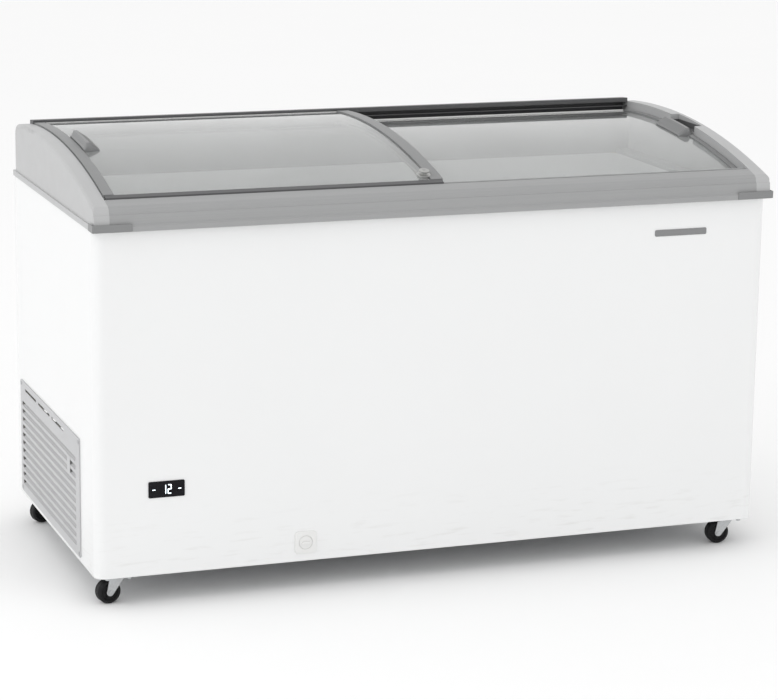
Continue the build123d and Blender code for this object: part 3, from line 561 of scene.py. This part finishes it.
def wheel_profile(half_width, radius, bore):
    """Closed profile of a moulded wheel: crowned tread, rounded shoulders, dished hub."""
    side = []
    shoulder = 0.005
    for step in range(7):
        turn = math.radians(15 * step)
        side.append(
            (
                half_width - shoulder + shoulder * math.sin(turn),
                radius - shoulder + shoulder * math.cos(turn) - 0.0004 * math.sin(turn),
            )
        )
    side += [
        (half_width, 0.0185),
        (half_width - 0.0008, 0.0178),
        (half_width - 0.003, 0.0172),
        (half_width - 0.0036, 0.0165),
        (half_width - 0.0036, 0.0095),
        (half_width - 0.003, 0.0086),
        (half_width - 0.0006, 0.008),
        (half_width, 0.0074),
        (half_width, bore),
    ]
    tread = [(0.004, radius), (0.0035, radius - 0.0004), (-0.0035, radius - 0.0004)]
    far_side = [(-along, reach) for along, reach in reversed(side)]
    return [*reversed(side), *tread, (-0.004, radius), *reversed(far_side)]


def caster_wheel(place_name, joint):
    """Replaces a plain roller with a moulded wheel that has a parting groove and hub ribs."""
    node = f"wheel_{place_name}"
    axis = Vector(joint["axis"])
    heading = math.atan2(-axis.x, axis.y)
    place = Matrix.Translation(joint["pos_m"]) @ Matrix.Rotation(heading, 4, "Z")
    made = bmesh.new()
    revolve(made, wheel_profile(wheel_half_width, wheel_radius, wheel_bore), place)
    rib_count = 6
    rib_reach = 0.0128
    rib_inset = 0.0026
    rib_size = (0.0085, 0.0022, 0.0016)
    for side in (-1, 1):
        for number in range(rib_count):
            spoke = place @ Matrix.Rotation(math.tau * number / rib_count, 4, "Y")
            across = side * (wheel_half_width - rib_inset)
            spoke = spoke @ Matrix.Translation((rib_reach, across, 0))
            box_at(made, spoke, rib_size, 0.0004)
    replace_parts(make_piece(f"moulded_{node}", made, "wheel_plastic", node), node)


def face_centre(node, axis):
    """Middle of the flat face at the far end of a node along an axis."""
    points = [vert.co for vert in nodes[node].data.vertices]
    reach = max(point.dot(axis) for point in points)
    face = [point for point in points if point.dot(axis) > reach - 0.0001]
    low = Vector(min(point[index] for point in face) for index in range(3))
    high = Vector(max(point[index] for point in face) for index in range(3))
    return (low + high) / 2


def lock_face():
    """Turned rim on top of the lock, and a dark bar that paints the shade of the key slot."""
    lock_joint = next(joint for joint in frame["joints"] if joint["name"] == "lock_push")
    axis = Vector(lock_joint["axis"]).normalized()
    centre = face_centre("lock_plunger", axis)
    turn = Vector((0, 1, 0)).rotation_difference(axis)
    place = Matrix.Translation(centre) @ turn.to_matrix().to_4x4()
    rim = [
        (-0.0002, 0.0044),
        (0.0004, 0.0044),
        (0.0007, 0.0047),
        (0.0007, 0.0055),
        (-0.0002, 0.006),
    ]
    made = bmesh.new()
    revolve(made, rim, place, 48)
    make_piece("lock_rim", made, "lock_metal", "lock")
    # Dark bar: painted shade standing in for the hollow of the key slot.
    slot = bmesh.new()
    box_at(slot, place, (0.0052, 0.0006, 0.0011), 0.0002)
    make_piece("lock_slot_shade", slot, "dark_plastic", "lock")


def glowing_key_marks():
    """A short pale bar printed on each key of the controller, in the glowing digit finish: it glows as painted
    light.
    """
    for node in ("key_left", "key_right"):
        low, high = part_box(node)
        centre = Vector(((low.x + high.x) / 2, low.y, (low.z + high.z) / 2))
        made = bmesh.new()
        box_at(made, Matrix.Translation(centre), (0.006, 0.0003, 0.0013), 0.0001)
        # The digit finish makes these printed bars glow: painted light.
        make_piece(f"{node}_mark", made, "digits", node)


lid_pull("left_pull_ribbed", "left_handle", "left_lid")
lid_pull("right_pull_ribbed", "right_handle", "right_lid")
# White strips that paint the bright reflection along the rear edge of each lid's glass.
rear_highlight_strip(
    "left_rear_highlight_strip",
    "left_lid",
    left=-0.682,
    right=-0.0145,
    drop=-0.001,
    back_y=0.3075,
    height=0.0015,
)
rear_highlight_strip(
    "right_rear_highlight_strip",
    "right_lid",
    left=0.0005,
    right=0.693,
    drop=0.0215,
    back_y=0.3035,
    height=0.003,
)
recess_shade_lining()
lock_face()
glowing_key_marks()
for joint in frame["joints"]:
    if joint["name"].endswith("_roll"):
        caster_wheel(joint["name"][len("wheel_") : -len("_roll")], joint)


# ---- studio: floor, light and camera -------------------------------------------------------
def studio_floor():
    """A pale matt floor, wide enough to fill the view behind the freezer."""
    half = 40.0
    made = bmesh.new()
    around = ((-half, -half), (half, -half), (half, half), (-half, half))
    made.faces.new([made.verts.new((x, y, 0)) for x, y in around])
    mesh = bpy.data.meshes.new("studio_floor")
    made.to_mesh(mesh)
    made.free()
    floor = bpy.data.objects.new("studio_floor", mesh)
    bpy.context.scene.collection.objects.link(floor)
    paper = Finish("studio_paper", (1.0, 1.0, 1.0), 0.9)
    paper.tint(paper.ramp(paper.noise(0.8, 3), 0.3, 0.8, 0, 0.2), (0.97, 0.97, 0.97))
    mesh.materials.append(paper.done())


def soft_light(name, place, target, size, watts):
    """A rectangular bank of light that faces a target."""
    light = bpy.data.lights.new(name, "AREA")
    light.shape = "RECTANGLE"
    light.size, light.size_y = size
    light.energy = watts
    lamp = bpy.data.objects.new(name, light)
    lamp.location = place
    lamp.rotation_euler = (Vector(target) - Vector(place)).to_track_quat("-Z", "Y").to_euler()
    bpy.context.scene.collection.objects.link(lamp)


def studio_light():
    """A white surround, a little brighter on the freezer's left, and two weak banks."""
    world = bpy.data.worlds.new("studio_air")
    world.use_nodes = True
    tree = world.node_tree
    sky = tree.nodes["Background"]
    sky.inputs["Color"].default_value = (1.0, 1.0, 1.0, 1)
    direction = tree.nodes.new("ShaderNodeTexCoord").outputs["Generated"]
    split = tree.nodes.new("ShaderNodeSeparateXYZ")
    tree.links.new(direction, split.inputs[0])
    across = tree.nodes.new("ShaderNodeMapRange")
    for socket, value in zip(across.inputs[1:5], (-1, 1, 1.06, 0.84)):
        socket.default_value = value
    tree.links.new(split.outputs["X"], across.inputs[0])
    tree.links.new(across.outputs[0], sky.inputs["Strength"])
    bpy.context.scene.world = world
    bpy.context.scene.view_settings.view_transform = "Standard"
    middle = (0, 0, 0.5)
    soft_light("side_strip", (-4.4, -0.6, 3.6), middle, (3.2, 0.5), 28)
    soft_light("front_bank", (0.8, -5.5, 2.6), middle, (4.5, 3.0), 12)


def camera():
    """A long lens at standing height to the front left of the freezer, rolled slightly."""
    lens = bpy.data.cameras.new("camera")
    lens.lens = 128.3
    made = bpy.data.objects.new("camera", lens)
    made.location = (-2.024, -5.571, 1.795)
    made.rotation_euler = [math.radians(turn) for turn in (76.87, -0.74, -19.87)]
    bpy.context.scene.collection.objects.link(made)
    bpy.context.scene.camera = made


studio_floor()
studio_light()
camera()
